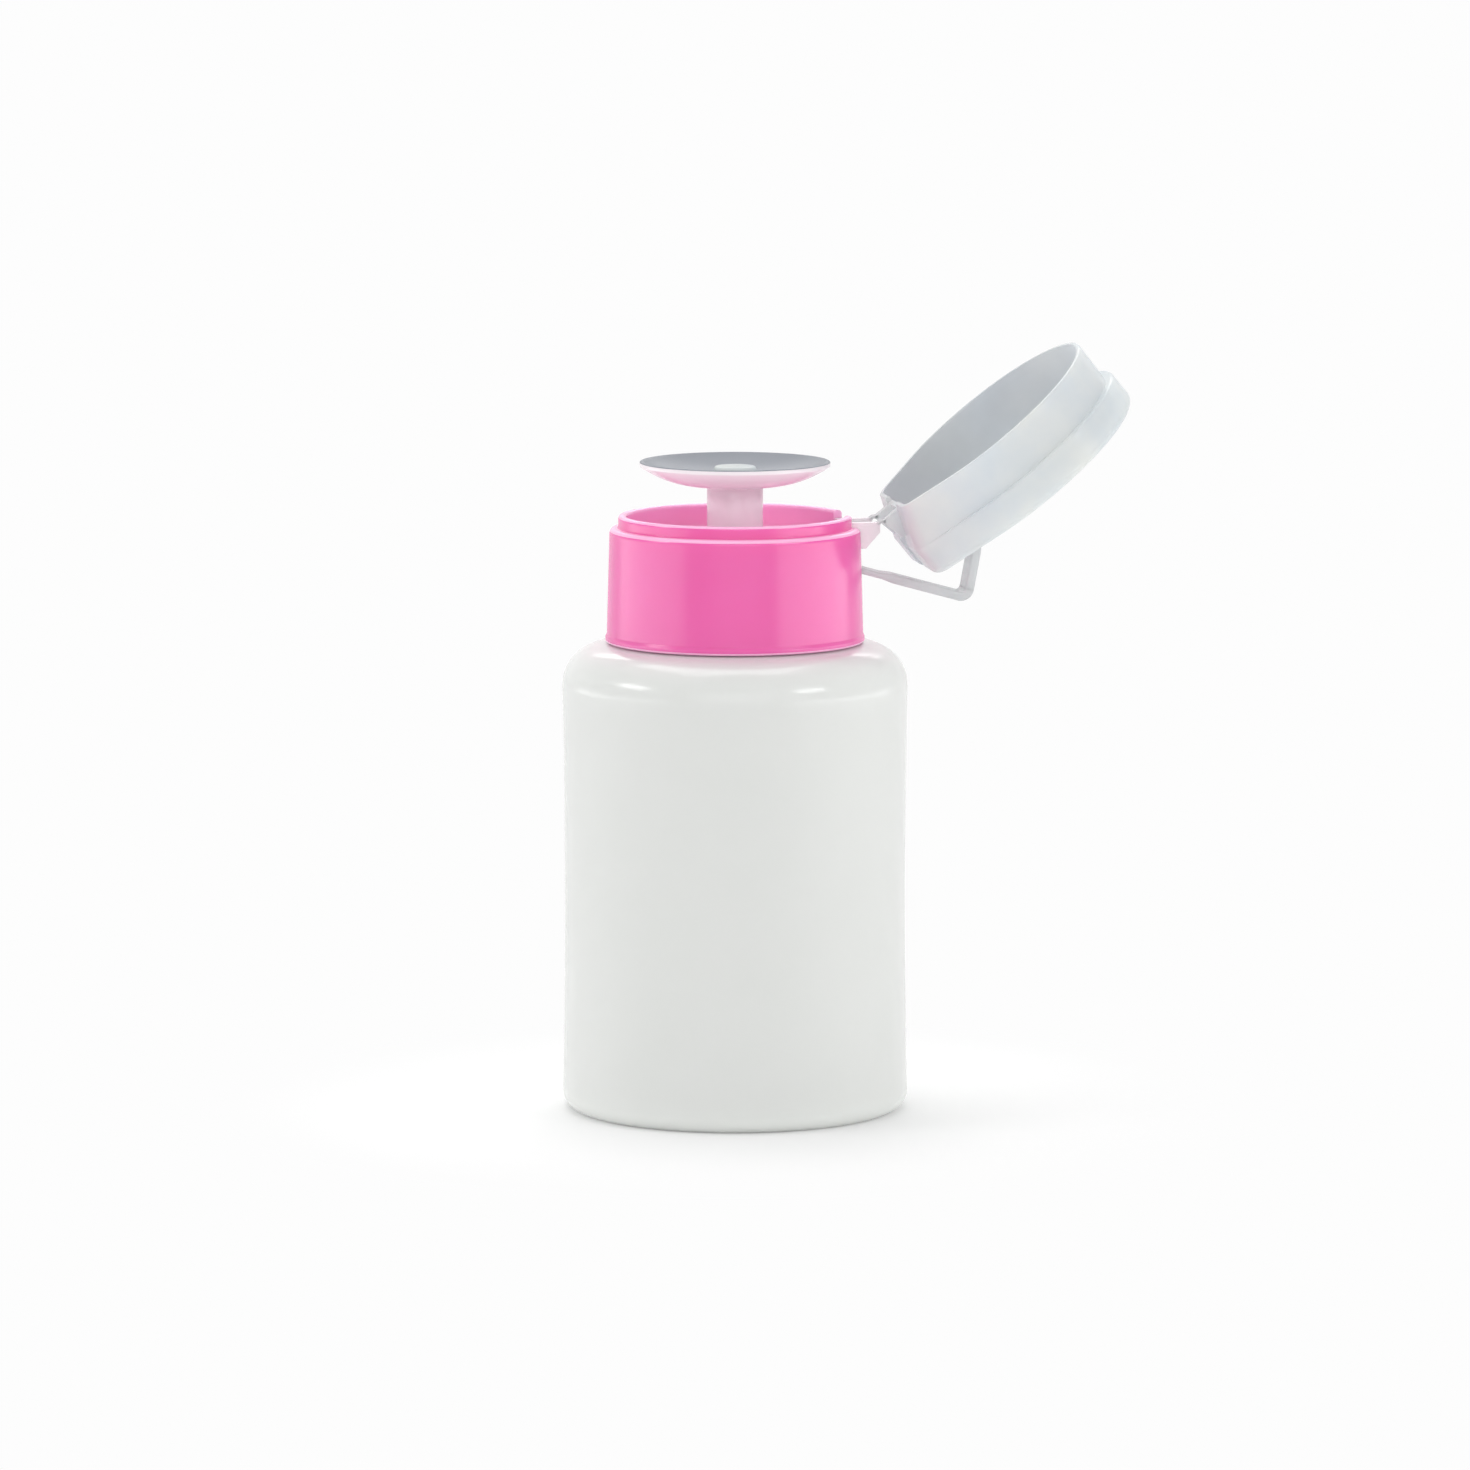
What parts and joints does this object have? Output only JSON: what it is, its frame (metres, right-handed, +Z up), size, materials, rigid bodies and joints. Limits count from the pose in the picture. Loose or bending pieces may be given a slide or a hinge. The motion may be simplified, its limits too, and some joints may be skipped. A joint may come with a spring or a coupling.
{
  "type": "push-down pump bottle",
  "caption": "Round translucent bottle with a screw collar, a press-down dish pump and a hinged flip lid held by an L-shaped snap strap.",
  "frame": {"origin": "middle of the base, on the floor", "axes": "+Z up along the bottle's axis, +X towards the lid's hinge"},
  "size_m": [0.0991, 0.06, 0.1325],
  "materials": {
    "hdpe_white": "blow-moulded satin HDPE, slightly translucent",
    "pp_pink": "moulded glossy pink PP",
    "pp_natural": "natural translucent PP, moulded smooth",
    "eva_seal": "soft white foamed seal",
    "ldpe_seal": "soft natural LDPE",
    "steel_wire": "drawn stainless wire",
    "steel_ball": "polished stainless ball"
  },
  "bodies": {
    "bottle": {"bottle": "hdpe_white"},
    "pump_body": {"neck_gasket": "eva_seal", "pump_cylinder": "pp_natural", "cylinder_cap": "pp_natural", "dip_tube": "pp_natural", "spring_seat": "pp_natural", "return_spring": "steel_wire"},
    "closure": {"collar": "pp_pink", "hinge_base": "pp_natural", "lid_hinge_films": "pp_natural", "strap_root_film": "pp_natural"},
    "pump_head": {"pump_stem": "pp_natural", "piston_seal": "ldpe_seal", "dish": "pp_natural", "outlet_cap": "pp_natural"},
    "inlet_valve": {"inlet_ball": "steel_ball"},
    "outlet_valve": {"outlet_ball": "steel_ball"},
    "flip_lid": {"lid": "pp_natural", "strap_tip_film": "pp_natural"},
    "strap_lower": {"strap_lower_arm": "pp_natural"},
    "strap_upper": {"strap_upper_arm": "pp_natural"}
  },
  "joints": [
    {"name": "closure_lift", "type": "slide", "parent": "bottle", "child": "pump_body", "axis": [0, 0, 1], "range_m": [0, 0.0063]},
    {"name": "closure_turn", "type": "hinge", "parent": "pump_body", "child": "closure", "pos_m": [0, 0, 0.09], "axis": [0, 0, 1], "range_deg": [0, 540]},
    {"name": "pump_stroke", "type": "slide", "parent": "pump_body", "child": "pump_head", "axis": [0, 0, -1], "range_m": [0, 0.008], "stiffness_N_per_m": 200, "springref_m": -0.01, "deforming": ["return_spring"]},
    {"name": "inlet_lift", "type": "slide", "parent": "pump_body", "child": "inlet_valve", "axis": [0, 0, 1], "range_m": [0, 0.0012]},
    {"name": "outlet_lift", "type": "slide", "parent": "pump_head", "child": "outlet_valve", "axis": [0, 0, 1], "range_m": [0, 0.0008]},
    {"name": "lid_hinge", "type": "hinge", "parent": "closure", "child": "flip_lid", "pos_m": [0.0249, 0, 0.10239], "axis": [0, -1, 0], "range_deg": [0, 140.5]},
    {"name": "strap_root_hinge", "type": "hinge", "parent": "closure", "child": "strap_lower", "pos_m": [0.0208, 0, 0.09399], "axis": [0, -1, 0], "range_deg": [0, 95.6]},
    {"name": "strap_tip_hinge", "type": "hinge", "parent": "flip_lid", "child": "strap_upper", "pos_m": [0.04277, 0, 0.10021], "axis": [0, -1, 0], "range_deg": [-45.9, 0]}
  ],
  "couplings": [
    {"joint": "closure_lift", "follows": "closure_turn", "m_per_rad": 0.00066845},
    {"joint": "strap_root_hinge", "follows": "lid_hinge", "ratio": 0.68016},
    {"joint": "strap_tip_hinge", "follows": "lid_hinge", "ratio": -0.32627}
  ]
}
